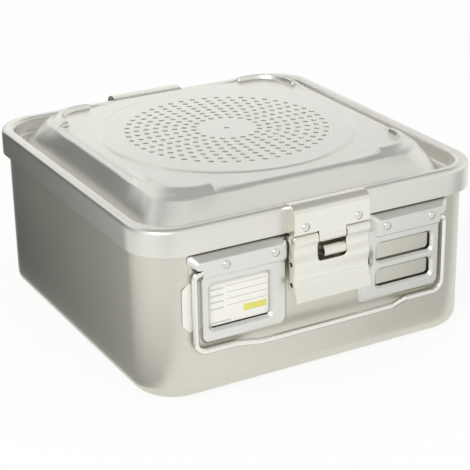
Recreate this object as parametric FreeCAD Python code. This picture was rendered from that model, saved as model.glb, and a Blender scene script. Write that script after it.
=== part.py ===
# Sterilization container of the half size: a deep-drawn tub, a domed lid with a perforated
# panel, a latch and a bail handle at the front and at the rear, and a filter under the lid.
# Origin at the centre of the base, front face towards -Y, +Z up, millimetres.
import math
import os

import FreeCAD, Part

V = FreeCAD.Vector

# Driving dimensions of the lid rim and the tub
RIM_HALF_X = 142.5
RIM_HALF_Y = 144.3
RIM_CORNER = 33.2
TUB_TOP = 127.5
SHEET = 2.0
RIM_EDGE = 4.0
RIM_CREST = 3.0
RIM_WIDTH = 9.0
RIM_RISE = 6.4
SKIRT_DROP = 13.8
TUB_INSET = 3.9
TUB_CORNER = 33.7
TUB_FOOT_RADIUS = 10.4
TUB_BEAD = 1.3
TUB_BEAD_HEIGHT = 5.0

# Lid panel: groove, sloping sides, round plateau and the rings of holes
GROOVE_DROP = 7.5
GROOVE_WIDTH = 7.0
GROOVE_FILLET = 2.5
PANEL_HEIGHT = 23.5
PANEL_RUN_X = 15.0
PANEL_RUN_Y = 14.8
PANEL_CORNER = 27.0
SLOPE_CORNER = 25.0
PANEL_EDGE = 6.0
PLATEAU_RADIUS = 101.0
PLATEAU_RISE = 1.0
HOLE_RADIUS = 2.1
FIRST_RING_RADIUS = 25.9
RING_STEP = 7.41
RING_COUNT = 8
FIRST_RING_HOLES = 20
RING_HOLES_STEP = 4

# Stacking lugs: a ridge round each corner of the panel, steep inside with a long slope outside;
# section points are distances out from the bend's centre and heights above the panel
LUG_BEND = 33.2
LUG_INNER_FOOT = (22.8, -1.5)
LUG_PEAK = (25.6, 6.0)
LUG_OUTER_FOOT = (34.8, -2.3)
LUG_CREST_RADIUS = 3.0
LUG_ARM = 8.5
LUG_CAP = 4.0

# Latch: clip over the rim, hinge below it and lever; its points are measured from the hinge axis,
# outwards and upwards
LATCH_HALF = 31.5
CLIP_REACH = 10.1
CLIP_RISE = 2.1
CLIP_LIP = 1.2
CLIP_HEEL = 1.4
HINGE_REACH = 6.1
HINGE_DROP = 4.8
KNUCKLE_RADIUS = 5.0
MIDDLE_KNUCKLE_RADIUS = 4.6
MIDDLE_KNUCKLE_HALF = 11.3
HINGE_PIN_RADIUS = 1.9
RUNNING_GAP = 0.06
SWING_GAP = 0.5
WINDOW_HALF = 12.0
WINDOW_CORNER = 2.4
SILL = -17.6
SILL_FALL = 4.0
LEVER_WAVE = ((3.0, -10.3), (4.3, -18.4), (2.8, -26.5), (3.9, -32.9))
LEVER_TIP = (7.5, -45.1)
LEVER_TIP_WIDTH = 1.7
LEVER_BACK = -4.4
LEVER_BACK_FOOT = -36.9
LEVER_BORES = ((-1.2, -17.9), (-0.8, -33.7))
LEVER_BORE_RADIUS = 2.0

# Catch on the tub: a plate with its upper end curled into a roll under the lever's window
ROLL = (-0.6, -12.2)
ROLL_RADIUS = 4.7
ROLL_X = (-6.4, 11.4)
ROLL_NOSE = 2.8
CATCH_SHEET = 1.8
CATCH_HALF = 22.0
CATCH_FOOT = -44.9
CATCH_CORNER = 5.0

# Brackets, pressed from sheet: depths are measured out from the tub wall
BRACKET_SHEET = 1.5
BAND_DEPTH = 6.2
PLATE_DEPTH = 4.0
BAND_HEIGHT = 21.0
BAND_DROP = 1.7
BAND_SLOPE_LOW = 4.0
BAND_SLOPE_TOP = 5.0
BAND_OVERLAP = 10.0
PLATE_HEIGHT = 46.0
PLATE_SLOPE = 3.5
PLATE_CORNER = 5.0
BRACKET_INSET = 34.6
BAND_END_SLOPE = 5.6
BAND_INNER_SLOPE = 7.5
PLATE_STEP = 4.0
BEVEL = 2.4
BEVEL_LEAN = 0.9
BEVEL_SHEET = 1.1
SLOT_MARGIN = 4.0
WINDOW_MARGIN = 4.5
UPPER_SLOT = 17.8
LOWER_SLOT = 17.4
NOTCH_RISE = 33.5
NOTCH_HALF = (8.0, 11.0)
NOTCH_CORNER = 7.9

# Bail handle: the wire, its pivots in the brackets and the set-off grip
WIRE_RADIUS = 2.3
PIVOT_DEPTH = 3.2
PIVOT_RISE = 6.6
BAIL_STAND_OFF = 1.5
BAIL_TONGUE = 2.7
BAIL_DROP = 7.3
BAIL_BENDS = (4.0, 9.0, 12.0, 12.0)
GRIP_OFFSET = 5.8
GRIP_HALF = 56.0
JOGGLE_HALF = 72.0

# Card, rivets, filter parts
CARD_TAB = 9.9
CARD_THICKNESS = 0.6
CARD_CHAMFER = 5.0
CARD_GAP = 0.4
RIVET_RADIUS = 2.0
RIVET_HEAD_RADIUS = 3.2
RIVET_HEAD_HEIGHT = 1.7
RIVET_INNER_HEAD = 1.0
SPACER_RADIUS = 3.4
CATCH_RIVET_X = 15.0
CLIP_RIVET_X = 22.0
POCKET_EDGE = 1.0
RETAINER_GAP = 4.0
FILTER_GAP = 4.0
FILTER_THICKNESS = 1.6
RETAINER_SHEET = 1.2
RETAINER_SLOTS = 16
SLOT_HALF = 3.5
SLOT_STARTS = (30.0, 48.0)
SLOT_EDGE = 14.0
STUD_RADIUS = 3.5
STUD_LENGTH = 12.9
STUD_COLLAR = 3.0
KNOB_RADIUS = 15.0
KNOB_HEIGHT = 6.0
KNOB_GRIP = 4.0

# Values that follow from the ones above
RIM_TOP = TUB_TOP + RIM_RISE
SKIRT_BOTTOM = TUB_TOP - SKIRT_DROP
GROOVE_FLOOR = TUB_TOP - GROOVE_DROP
PANEL_Z = GROOVE_FLOOR + PANEL_HEIGHT
WALL_HALF_X = RIM_HALF_X - RIM_WIDTH
WALL_HALF_Y = RIM_HALF_Y - RIM_WIDTH
FOOT_HALF_X = WALL_HALF_X - GROOVE_WIDTH
FOOT_HALF_Y = WALL_HALF_Y - GROOVE_WIDTH
PANEL_HALF_X = FOOT_HALF_X - PANEL_RUN_X
PANEL_HALF_Y = FOOT_HALF_Y - PANEL_RUN_Y
TUB_HALF_X = RIM_HALF_X - TUB_INSET
TUB_HALF_Y = RIM_HALF_Y - TUB_INSET
WALL_CORNER = TUB_CORNER - (TUB_HALF_X - WALL_HALF_X)
WALL_Y = -TUB_HALF_Y
CHANNEL_TOP = RIM_TOP - SHEET
PLATEAU_Z = PANEL_Z + PLATEAU_RISE
PLATEAU_UNDER = PLATEAU_Z - SHEET
POCKET_RADIUS = PLATEAU_RADIUS - POCKET_EDGE
RETAINER_RADIUS = POCKET_RADIUS - RETAINER_GAP
FILTER_RADIUS = RETAINER_RADIUS - FILTER_GAP
SLOT_END = RETAINER_RADIUS - SLOT_EDGE
CLIP_FRONT_Y = -RIM_HALF_Y - CLIP_REACH
CLIP_BOTTOM = SKIRT_BOTTOM - 0.3
CLIP_TOP = RIM_TOP + CLIP_RISE
HINGE_Y = -RIM_HALF_Y - HINGE_REACH
HINGE_Z = SKIRT_BOTTOM - HINGE_DROP
SILL_Z = HINGE_Z + SILL
LEVER_BACK_Y = HINGE_Y - LEVER_BACK
ROLL_Y = HINGE_Y - ROLL[0]
ROLL_Z = HINGE_Z + ROLL[1]
CATCH_BOTTOM = HINGE_Z + CATCH_FOOT
BAND_WALL_Z = (SKIRT_BOTTOM - BAND_DROP - BAND_HEIGHT, SKIRT_BOTTOM - BAND_DROP)
BAND_FRONT_Z = (BAND_WALL_Z[0] + BAND_SLOPE_LOW, BAND_WALL_Z[1] - BAND_SLOPE_TOP)
PLATE_BOTTOM = BAND_WALL_Z[0] - PLATE_HEIGHT
BRACKET_END = TUB_HALF_X - BRACKET_INSET
PLATE_END = BRACKET_END - PLATE_STEP
PIVOT_Z = BAND_WALL_Z[0] + PIVOT_RISE
BAIL_HALF = BRACKET_END + BAIL_STAND_OFF
BAIL_END = PLATE_END - BAIL_TONGUE
BAIL_BOTTOM = PLATE_BOTTOM - BAIL_DROP
CARD_X = (-BRACKET_END - CARD_TAB, -LATCH_HALF - 9.5)
CARD_Z = (PLATE_BOTTOM + 9.3, BAND_WALL_Z[0] + 0.1)
TINY = 0.01


# Rounded rectangle in a level plane, centred on the axis
def level_wire(half_x, half_y, corner, z):
    x, y = half_x - corner, half_y - corner
    edges = []
    turns = ((x, y, 0), (-x, y, 90), (-x, -y, 180), (x, -y, 270))
    for index, (cx, cy, start) in enumerate(turns):
        arc = Part.makeCircle(corner, V(cx, cy, z), V(0, 0, 1), start, start + 90)
        nx, ny, next_start = turns[(index + 1) % 4]
        end = V(cx, cy, z) + corner * direction(start + 90)
        begin = V(nx, ny, z) + corner * direction(next_start)
        edges.append(arc)
        edges.append(Part.makeLine(end, begin))
    return Part.Wire(edges)


def direction(degrees):
    angle = math.radians(degrees)
    return V(math.cos(angle), math.sin(angle), 0)


def block(half_x, half_y, corner, z0, z1):
    return Part.Face(level_wire(half_x, half_y, corner, z0)).extrude(V(0, 0, z1 - z0))


# Edges that lie wholly at one height
def edges_at(shape, z):
    level = []
    for edge in shape.Edges:
        box = edge.BoundBox
        if abs(box.ZMin - z) < TINY and abs(box.ZMax - z) < TINY:
            level.append(edge)
    return level


def fillet_at(shape, radius, z):
    return shape.makeFillet(radius, edges_at(shape, z))


def box_between(x0, x1, y0, y1, z0, z1):
    return Part.makeBox(x1 - x0, y1 - y0, z1 - z0, V(x0, y0, z0))


def bar(radius, x0, x1, y, z):
    return Part.makeCylinder(radius, x1 - x0, V(x0, y, z), V(1, 0, 0))


# A profile of edges in the y-z plane, drawn at x = 0 and extruded both ways
def extruded_profile(edges, half):
    face = Part.Face(Part.Wire(edges))
    face.translate(V(-half, 0, 0))
    return face.extrude(V(2 * half, 0, 0))


def line(p, q):
    return Part.makeLine(V(0, *p), V(0, *q))


def arc(p, middle, q):
    return Part.Arc(V(0, *p), V(0, *middle), V(0, *q)).toShape()


def to_rear(shape):
    turned = shape.copy()
    turned.rotate(V(0, 0, 0), V(0, 0, 1), 180)
    return turned


def mirrored(shape):
    return shape.mirror(V(0, 0, 0), V(1, 0, 0))


def bracket_rivet_places():
    z = (BAND_FRONT_Z[0] + BAND_FRONT_Z[1]) / 2 + 0.8
    left = [(22.5 - BRACKET_END, z), (-LATCH_HALF - 10.5, z)]
    return left + [(LATCH_HALF + 21.0, z), (BRACKET_END - 12.0, z)]


# Rivets of the rear brackets, in the front's frame before they are turned to the rear
def rear_rivet_places():
    slotted = [place for place in bracket_rivet_places() if place[0] > 0]
    return slotted + [(-x, z) for x, z in slotted]


def catch_rivet_places():
    z = CATCH_BOTTOM + 8
    return [(-CATCH_RIVET_X, z), (CATCH_RIVET_X, z)]


def clip_rivet_places():
    z = CLIP_BOTTOM + 5.9
    return [(-CLIP_RIVET_X, z), (CLIP_RIVET_X, z)]


# Tub: a deep-drawn shell with a rounded foot and a bead round its mouth
def make_tub():
    outer = block(TUB_HALF_X, TUB_HALF_Y, TUB_CORNER, 0, TUB_TOP)
    outer = fillet_at(outer, TUB_FOOT_RADIUS, 0)
    bead_foot = TUB_TOP - TUB_BEAD_HEIGHT
    bead = block(TUB_HALF_X + TUB_BEAD, TUB_HALF_Y + TUB_BEAD, TUB_CORNER + TUB_BEAD, bead_foot, TUB_TOP)
    bead = fillet_at(bead, TUB_BEAD * 0.9, bead_foot)
    inner = block(TUB_HALF_X - SHEET, TUB_HALF_Y - SHEET, TUB_CORNER - SHEET, SHEET, TUB_TOP + 1)
    inner = fillet_at(inner, TUB_FOOT_RADIUS - SHEET, SHEET)
    tub = outer.fuse(bead).cut(inner)
    front = [wall_hole(x, z) for x, z in bracket_rivet_places() + catch_rivet_places()]
    rear = [to_rear(wall_hole(x, z)) for x, z in rear_rivet_places() + catch_rivet_places()]
    return tub.cut(Part.Compound(front + rear)).removeSplitter()


def wall_hole(x, z):
    return Part.makeCylinder(RIVET_RADIUS, SHEET + 2, V(x, WALL_Y - 1, z), V(0, 1, 0))


# Section of a lug: two slopes that meet in a round crest, moved inwards by the sheet for the underside
def lug_section(inward, scale, y):
    lean_in = math.atan2(LUG_PEAK[1] - LUG_INNER_FOOT[1], LUG_PEAK[0] - LUG_INNER_FOOT[0])
    lean_out = math.atan2(LUG_PEAK[1] - LUG_OUTER_FOOT[1], LUG_OUTER_FOOT[0] - LUG_PEAK[0])
    half = (math.pi - lean_in - lean_out) / 2
    axis = math.pi / 2 - (lean_in - lean_out) / 2
    reach = inward / math.sin(half)
    middle = (LUG_INNER_FOOT[0] + LUG_OUTER_FOOT[0]) / 2
    peak_x = middle + (LUG_PEAK[0] + reach * math.cos(axis) - middle) * scale
    peak_z = (LUG_PEAK[1] - LUG_INNER_FOOT[1]) * scale + LUG_INNER_FOOT[1] - reach * math.sin(axis)
    radius = max(LUG_CREST_RADIUS - inward, 0.8) * scale
    foot_in = LUG_INNER_FOOT[1] - inward
    foot_out = LUG_OUTER_FOOT[1] - inward
    start = V(peak_x - (peak_z - foot_in) / math.tan(lean_in), 0, foot_in)
    peak = V(peak_x, 0, peak_z)
    end = V(peak_x + (peak_z - foot_out) / math.tan(lean_out), 0, foot_out)
    setback = radius / math.tan(half)
    down_in = (start - peak).normalize()
    down_out = (end - peak).normalize()
    crest = peak + (down_in + down_out).normalize() * (radius / math.sin(half) - radius)
    first, last = peak + down_in * setback, peak + down_out * setback
    wire = Part.Wire([Part.makeLine(start, first), Part.Arc(first, crest, last).toShape(),
                      Part.makeLine(last, end), Part.makeLine(end, start)])
    wire.translate(V(0, y, PANEL_Z))
    return wire


# One lug: the section turned round the bend, an arm at each end and a cap that slopes down
def lug(inward):
    turned = Part.Face(lug_section(inward, 1.0, 0)).revolve(V(0, 0, 0), V(0, 0, 1), 90)
    arm = Part.Face(lug_section(inward, 1.0, 0)).extrude(V(0, -LUG_ARM, 0))
    ends = [lug_section(inward, 1.0, -LUG_ARM), lug_section(inward, 0.45, inward - LUG_ARM - LUG_CAP)]
    arm = arm.fuse(Part.makeLoft(ends, True, True))
    other = arm.mirror(V(0, 0, 0), V(0, 1, 0))
    other.rotate(V(0, 0, 0), V(0, 0, 1), 90)
    whole = turned.multiFuse([arm, other])
    whole.translate(V(PANEL_HALF_X - LUG_BEND, PANEL_HALF_Y - LUG_BEND, 0))
    return whole


def four_corners(shape):
    other = shape.mirror(V(0, 0, 0), V(1, 0, 0))
    return [shape, other, to_rear(shape), to_rear(other)]


# Sloping sides of the panel as a loft between two rounded rectangles
def panel_body(offset, z0, z1):
    sections = []
    for z in (z0, z1):
        share = (z - GROOVE_FLOOR) / PANEL_HEIGHT
        half_x = FOOT_HALF_X - PANEL_RUN_X * share - offset
        half_y = FOOT_HALF_Y - PANEL_RUN_Y * share - offset
        corner = SLOPE_CORNER + (PANEL_CORNER - SLOPE_CORNER) * share - offset
        sections.append(level_wire(half_x, half_y, corner, z))
    return Part.makeLoft(sections, True, True)


def perforation():
    holes = [Part.makeCylinder(HOLE_RADIUS, 4 * SHEET, V(0, 0, PLATEAU_Z - 3 * SHEET))]
    for ring in range(RING_COUNT):
        radius = FIRST_RING_RADIUS + RING_STEP * ring
        count = FIRST_RING_HOLES + RING_HOLES_STEP * ring
        for index in range(count):
            place = radius * direction(360.0 * index / count) + V(0, 0, PLATEAU_Z - 3 * SHEET)
            holes.append(Part.makeCylinder(HOLE_RADIUS, 4 * SHEET, place))
    return Part.Compound(holes)


# Lid: one pressed sheet with a skirt, a channel over the tub's edge, a groove and the panel
def make_lid_shell():
    wall_x, wall_y = WALL_HALF_X, WALL_HALF_Y
    rim = block(RIM_HALF_X, RIM_HALF_Y, RIM_CORNER, SKIRT_BOTTOM, RIM_TOP)
    rim = fillet_at(rim, RIM_EDGE, RIM_TOP)
    groove = block(wall_x, wall_y, WALL_CORNER, GROOVE_FLOOR, RIM_TOP + 1)
    groove = fillet_at(groove, GROOVE_FILLET, GROOVE_FLOOR)
    rim = rim.cut(groove)
    crest = [e for e in edges_at(rim, RIM_TOP) if e.BoundBox.XMax <= wall_x + TINY
             and e.BoundBox.XMin >= -wall_x - TINY and e.BoundBox.YMax <= wall_y + TINY
             and e.BoundBox.YMin >= -wall_y - TINY]
    rim = rim.makeFillet(RIM_CREST, crest)

    dome = fillet_at(panel_body(0, GROOVE_FLOOR, PANEL_Z), PANEL_EDGE, PANEL_Z)
    plateau = Part.makeCylinder(PLATEAU_RADIUS, SHEET + PLATEAU_RISE, V(0, 0, PANEL_Z - SHEET))
    plateau = fillet_at(plateau, PLATEAU_RISE * 0.9, PLATEAU_Z)
    outer = rim.multiFuse([dome, plateau] + four_corners(lug(0)))

    skirt_in = block(RIM_HALF_X - SHEET, RIM_HALF_Y - SHEET, RIM_CORNER - SHEET, SKIRT_BOTTOM - 1,
                     CHANNEL_TOP)
    skirt_in = fillet_at(skirt_in, RIM_EDGE - SHEET, CHANNEL_TOP)
    wall_out = block(wall_x + SHEET, wall_y + SHEET, WALL_CORNER + SHEET, SKIRT_BOTTOM - 2, RIM_TOP)
    channel = skirt_in.cut(wall_out)
    under_floor = block(wall_x + SHEET, wall_y + SHEET, WALL_CORNER + SHEET, SKIRT_BOTTOM - 1,
                        GROOVE_FLOOR - SHEET)
    side_offset = SHEET * math.hypot(PANEL_RUN_X, PANEL_HEIGHT) / PANEL_HEIGHT
    under_panel = panel_body(side_offset, GROOVE_FLOOR - SHEET - 1, PANEL_Z - SHEET)
    under_panel = fillet_at(under_panel, PANEL_EDGE - SHEET, PANEL_Z - SHEET)
    under_plateau = Part.makeCylinder(POCKET_RADIUS, SHEET, V(0, 0, PLATEAU_UNDER - SHEET))
    shell = outer.cut(channel.multiFuse([under_floor]))
    shell = shell.cut(under_panel.multiFuse([under_plateau] + four_corners(lug(SHEET))))

    holes = []
    for x, z in clip_rivet_places():
        hole = Part.makeCylinder(RIVET_RADIUS, SHEET + 2, V(x, -RIM_HALF_Y - 1, z), V(0, 1, 0))
        holes += [hole, to_rear(hole)]
    return shell.cut(Part.Compound(holes)).cut(perforation())


# Gasket in the lid's channel, resting on the tub's edge
def make_lid_gasket():
    margin = 0.2
    outer = block(RIM_HALF_X - SHEET - margin, RIM_HALF_Y - SHEET - margin, RIM_CORNER - SHEET - margin,
                  TUB_TOP, CHANNEL_TOP)
    outer = fillet_at(outer, RIM_EDGE - SHEET + margin, CHANNEL_TOP)
    grow = SHEET + margin
    return outer.cut(block(WALL_HALF_X + grow, WALL_HALF_Y + grow, WALL_CORNER + grow, TUB_TOP - 1,
                           CHANNEL_TOP + 1))


# Clip: an extruded block over the rim, with the middle knuckle of the latch hinge
def make_front_clip():
    front = CLIP_FRONT_Y
    rim_y = -RIM_HALF_Y
    round_y = rim_y + RIM_EDGE
    heel = round_y + CLIP_HEEL
    shoulder = (front, RIM_TOP - 3.4)
    lip = CLIP_LIP
    corner = (round_y - RIM_EDGE * math.sqrt(0.5), RIM_TOP - RIM_EDGE + RIM_EDGE * math.sqrt(0.5))
    edges = [
        arc((heel, RIM_TOP), ((heel + front) / 2, CLIP_TOP), (front + 1.2, RIM_TOP - 1.3)),
        line((front + 1.2, RIM_TOP - 1.3), shoulder),
        line(shoulder, (front, CLIP_BOTTOM + lip)),
        line((front, CLIP_BOTTOM + lip), (front + lip, CLIP_BOTTOM)),
        line((front + lip, CLIP_BOTTOM), (rim_y, CLIP_BOTTOM)),
        line((rim_y, CLIP_BOTTOM), (rim_y, RIM_TOP - RIM_EDGE)),
        arc((rim_y, RIM_TOP - RIM_EDGE), corner, (round_y, RIM_TOP)),
        line((round_y, RIM_TOP), (heel, RIM_TOP)),
    ]
    body = extruded_profile(edges, LATCH_HALF)
    relief = bar(KNUCKLE_RADIUS + SWING_GAP, -LATCH_HALF - 1, LATCH_HALF + 1, HINGE_Y, HINGE_Z)
    body = body.cut(relief)
    half = MIDDLE_KNUCKLE_HALF
    neck = box_between(-half, half, HINGE_Y - MIDDLE_KNUCKLE_RADIUS + 0.7, HINGE_Y + MIDDLE_KNUCKLE_RADIUS,
                       HINGE_Z, CLIP_BOTTOM + 2)
    knuckle = bar(MIDDLE_KNUCKLE_RADIUS, -half, half, HINGE_Y, HINGE_Z)
    body = body.multiFuse([neck, knuckle])
    body = body.cut(bar(HINGE_PIN_RADIUS, -half - 1, half + 1, HINGE_Y, HINGE_Z))
    depth = CLIP_REACH + 2
    for x, z in clip_rivet_places():
        body = body.cut(Part.makeCylinder(RIVET_RADIUS, depth, V(x, front - 1, z), V(0, 1, 0)))
    return body.removeSplitter()


def make_front_hinge_pin():
    return bar(HINGE_PIN_RADIUS, -LATCH_HALF + 0.5, LATCH_HALF - 0.5, HINGE_Y, HINGE_Z)


# Lever: an extruded bar with two outer knuckles, a waved face, a flared foot and a window
def make_front_lever():
    leave = math.radians(25)
    front = (HINGE_Y - KNUCKLE_RADIUS * math.cos(leave), HINGE_Z - KNUCKLE_RADIUS * math.sin(leave))
    back_z = HINGE_Z - math.sqrt(KNUCKLE_RADIUS ** 2 - LEVER_BACK ** 2)
    back_foot = (LEVER_BACK_Y, HINGE_Z + LEVER_BACK_FOOT)
    wave = [front] + [(HINGE_Y - out, HINGE_Z + up) for out, up in LEVER_WAVE]
    curve = Part.BSplineCurve()
    curve.interpolate([V(0, y, z) for y, z in wave])
    tip = (HINGE_Y - LEVER_TIP[0], HINGE_Z + LEVER_TIP[1])
    tip_back = (tip[0] + LEVER_TIP_WIDTH, tip[1] - 0.5)
    edges = [
        curve.toShape(),
        line(wave[-1], tip),
        line(tip, tip_back),
        line(tip_back, back_foot),
        line(back_foot, (LEVER_BACK_Y, back_z)),
        arc((LEVER_BACK_Y, back_z), (HINGE_Y, HINGE_Z + KNUCKLE_RADIUS), front),
    ]
    lever = extruded_profile(edges, LATCH_HALF)
    lever = lever.cut(bar(HINGE_PIN_RADIUS + RUNNING_GAP, -LATCH_HALF - 1, LATCH_HALF + 1, HINGE_Y, HINGE_Z))
    for out, up in LEVER_BORES:
        bore = bar(LEVER_BORE_RADIUS, -LATCH_HALF - 1, LATCH_HALF + 1, HINGE_Y - out, HINGE_Z + up)
        lever = lever.cut(bore)
    return lever.cut(lever_window()).removeSplitter()


# Window for the catch roll: rounded at its foot, with a sill that falls away behind
def lever_window():
    radius = WINDOW_CORNER
    near, far = HINGE_Y - 4 * KNUCKLE_RADIUS, HINGE_Y + 4 * KNUCKLE_RADIUS
    top = HINGE_Z + 3 * KNUCKLE_RADIUS
    low = box_between(radius - WINDOW_HALF, WINDOW_HALF - radius, near, far, SILL_Z, HINGE_Z)
    high = box_between(-WINDOW_HALF, WINDOW_HALF, near, far, SILL_Z + radius, top)
    rounds = [Part.makeCylinder(radius, far - near, V(side * (WINDOW_HALF - radius), near, SILL_Z + radius),
                                V(0, 1, 0)) for side in (-1, 1)]
    nose = (ROLL_Y - ROLL_NOSE, SILL_Z)
    behind = (LEVER_BACK_Y + 1, SILL_Z - SILL_FALL)
    above = (LEVER_BACK_Y + 1, HINGE_Z)
    over = (ROLL_Y - ROLL_NOSE, HINGE_Z)
    sill = [line(nose, behind), line(behind, above), line(above, over), line(over, nose)]
    return low.multiFuse([high, extruded_profile(sill, WINDOW_HALF)] + rounds)


# Catch: a plate on the tub wall whose upper end is curled into a roll
def make_front_catch():
    foot = WALL_Y - CATCH_SHEET
    arm_top = ROLL_Z + ROLL_RADIUS
    plate = box_between(-CATCH_HALF, CATCH_HALF, foot, WALL_Y, CATCH_BOTTOM, ROLL_Z - 1.5 * ROLL_RADIUS)
    corners = [e for e in plate.Edges if abs(e.tangentAt(e.FirstParameter).y) > 0.9]
    plate = plate.makeFillet(CATCH_CORNER, corners)
    x0, x1 = ROLL_X
    neck = box_between(x0, x1, foot, WALL_Y, CATCH_BOTTOM + 10, arm_top)
    arm = box_between(x0, x1, ROLL_Y, foot + TINY, arm_top - CATCH_SHEET, arm_top)
    ring = bar(ROLL_RADIUS, x0, x1, ROLL_Y, ROLL_Z)
    ring = ring.cut(bar(ROLL_RADIUS - CATCH_SHEET, x0 - 1, x1 + 1, ROLL_Y, ROLL_Z))
    mouth = box_between(x0 - 1, x1 + 1, ROLL_Y, ROLL_Y + 2 * ROLL_RADIUS, ROLL_Z - 1, arm_top - CATCH_SHEET)
    catch = plate.multiFuse([neck, arm, ring.cut(mouth)])
    for x, z in catch_rivet_places():
        catch = catch.cut(Part.makeCylinder(RIVET_RADIUS, CATCH_SHEET + 2, V(x, foot - 1, z), V(0, 1, 0)))
    return catch.removeSplitter()


# Rounded rectangle in an upright plane that faces the front, at a depth from the tub wall
def upright_wire(x0, x1, z0, z1, corner, depth):
    y = WALL_Y - depth
    edges = []
    turns = ((x1 - corner, z1 - corner, 0), (x0 + corner, z1 - corner, 90),
             (x0 + corner, z0 + corner, 180), (x1 - corner, z0 + corner, 270))
    for index, (cx, cz, start) in enumerate(turns):
        begin, middle, end = [V(cx, y, cz) + corner * V(math.cos(a), 0, math.sin(a))
                              for a in (math.radians(start + turn) for turn in (0, 45, 90))]
        nx, nz, next_start = turns[(index + 1) % 4]
        angle = math.radians(next_start)
        follow = V(nx, y, nz) + corner * V(math.cos(angle), 0, math.sin(angle))
        edges.append(Part.Arc(begin, middle, end).toShape())
        edges.append(Part.makeLine(end, follow))
    return Part.Wire(edges)


# A pressing between a rectangle on the wall and a smaller one in front of it
def pressing(wall, front, depth, corner):
    x0, x1, z0, z1 = wall
    back_wire = upright_wire(x0, x1, z0, z1, corner + 1.5, 0)
    x0, x1, z0, z1 = front
    return Part.makeLoft([back_wire, upright_wire(x0, x1, z0, z1, corner, depth)], True, True)


# An opening whose edge is pressed inwards all round: the cut and the collar that stays
def pressed_opening(x0, x1, z0, z1, corner):
    back = PLATE_DEPTH - BEVEL

    def taper(grow, near, far):
        wires = []
        for depth in (near, far):
            inset = (PLATE_DEPTH - depth) * BEVEL_LEAN - grow
            wires.append(upright_wire(x0 + inset, x1 - inset, z0 + inset, z1 - inset,
                                      max(corner - inset, 1.0), depth))
        return Part.makeLoft(wires, True, True)

    collar = taper(BEVEL_SHEET, back, PLATE_DEPTH).cut(taper(0, back - 1, PLATE_DEPTH + 1))
    return taper(0, back - 1, PLATE_DEPTH + 1), collar


# Bracket on the +X side between an inner end and the tub's outer end
def bracket(band_start, plate_start, end_slope, openings):
    sheet = BRACKET_SHEET
    band_end = BRACKET_END + BAND_END_SLOPE
    band_wall = (band_start - end_slope, band_end, BAND_WALL_Z[0], BAND_WALL_Z[1])
    band_front = (band_start, BRACKET_END, BAND_FRONT_Z[0], BAND_FRONT_Z[1])
    plate_wall = (plate_start - PLATE_SLOPE, PLATE_END, PLATE_BOTTOM - PLATE_SLOPE,
                  BAND_WALL_Z[1] - BAND_OVERLAP)
    plate_front = (plate_start, PLATE_END, PLATE_BOTTOM, BAND_FRONT_Z[1] - 0.8 * BAND_OVERLAP)

    def shrink(rectangle, side, foot):
        x0, x1, z0, z1 = rectangle
        return (x0 + side, x1 - side, z0 + foot, z1 - side)

    outer = pressing(band_wall, band_front, BAND_DEPTH, 2.5)
    outer = outer.fuse(pressing(plate_wall, plate_front, PLATE_DEPTH, PLATE_CORNER))
    inner = pressing(shrink(band_wall, sheet, sheet), shrink(band_front, sheet * 0.5, sheet * 0.5),
                     BAND_DEPTH - sheet, 2.0)
    inner = inner.fuse(pressing(shrink(plate_wall, sheet, sheet), shrink(plate_front, sheet, sheet),
                                PLATE_DEPTH - sheet, PLATE_CORNER - sheet))
    shell = outer.cut(inner)
    collars = []
    for opening in openings:
        cut, collar = pressed_opening(*opening)
        shell = shell.cut(cut)
        collars.append(collar.common(outer))
    ear = box_between(PLATE_END - sheet, PLATE_END, WALL_Y - BAND_DEPTH, WALL_Y, PIVOT_Z - 7, PIVOT_Z + 6)
    shell = shell.multiFuse(collars + [ear.common(outer)])
    room = Part.makePolygon([V(x, WALL_Y + 1, z) for x, z in (
        (PLATE_END, PIVOT_Z - 12), (PLATE_END, PIVOT_Z + 3.2), (BRACKET_END, PIVOT_Z + 4),
        (band_end, PIVOT_Z + 8.5), (band_end + 5, PIVOT_Z + 8.5), (band_end + 5, PIVOT_Z - 12),
        (PLATE_END, PIVOT_Z - 12))])
    shell = shell.cut(Part.Face(room).extrude(V(0, -2 * BAND_DEPTH, 0)))
    bore = bar(WIRE_RADIUS + RUNNING_GAP, PLATE_END - 3, PLATE_END + 3, WALL_Y - PIVOT_DEPTH, PIVOT_Z)
    shell = shell.cut(bore)
    holes = []
    near = WALL_Y - 2 * BAND_DEPTH
    for x, z in bracket_rivet_places():
        for place in (x, -x):
            holes.append(Part.makeCylinder(RIVET_RADIUS, 3 * BAND_DEPTH, V(place, near, z), V(0, 1, 0)))
    return shell, holes


# Slotted bracket: two long slots and a round notch at the latch side
def make_slotted_bracket():
    start = LATCH_HALF + 2.5
    x0, x1 = start + 10.0, PLATE_END - SLOT_MARGIN
    top = BAND_WALL_Z[0] - 1.7
    low = PLATE_BOTTOM + 6.0
    upper = (x0, x1, top - UPPER_SLOT, top, PLATE_CORNER)
    lower = (x0, x1, low, low + LOWER_SLOT, PLATE_CORNER)
    half_x, half_z = NOTCH_HALF
    notch_z = PLATE_BOTTOM + NOTCH_RISE
    notch = (start - half_x, start + half_x, notch_z - half_z, notch_z + half_z, NOTCH_CORNER)
    shell, holes = bracket(start + 11.0, start, BAND_INNER_SLOPE, [upper, lower, notch])
    return finish_bracket(shell, holes[0::2])


# Label bracket: one window for the card, and a slit in its outer end for the card to slide in
def make_label_bracket():
    start = LATCH_HALF + 2.0
    x0, x1 = start + 9.5, PLATE_END - WINDOW_MARGIN
    window = (x0, x1, PLATE_BOTTOM + 6.5, BAND_WALL_Z[0] - 1.7, PLATE_CORNER)
    shell, holes = bracket(start, start, BAND_END_SLOPE, [window])
    slit = box_between(PLATE_END - 4, PLATE_END + 4, WALL_Y - CARD_THICKNESS - CARD_GAP, WALL_Y + 1,
                       CARD_Z[0] - CARD_GAP, CARD_Z[1] + CARD_GAP)
    return mirrored(finish_bracket(shell.cut(slit), holes[1::2]))


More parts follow.
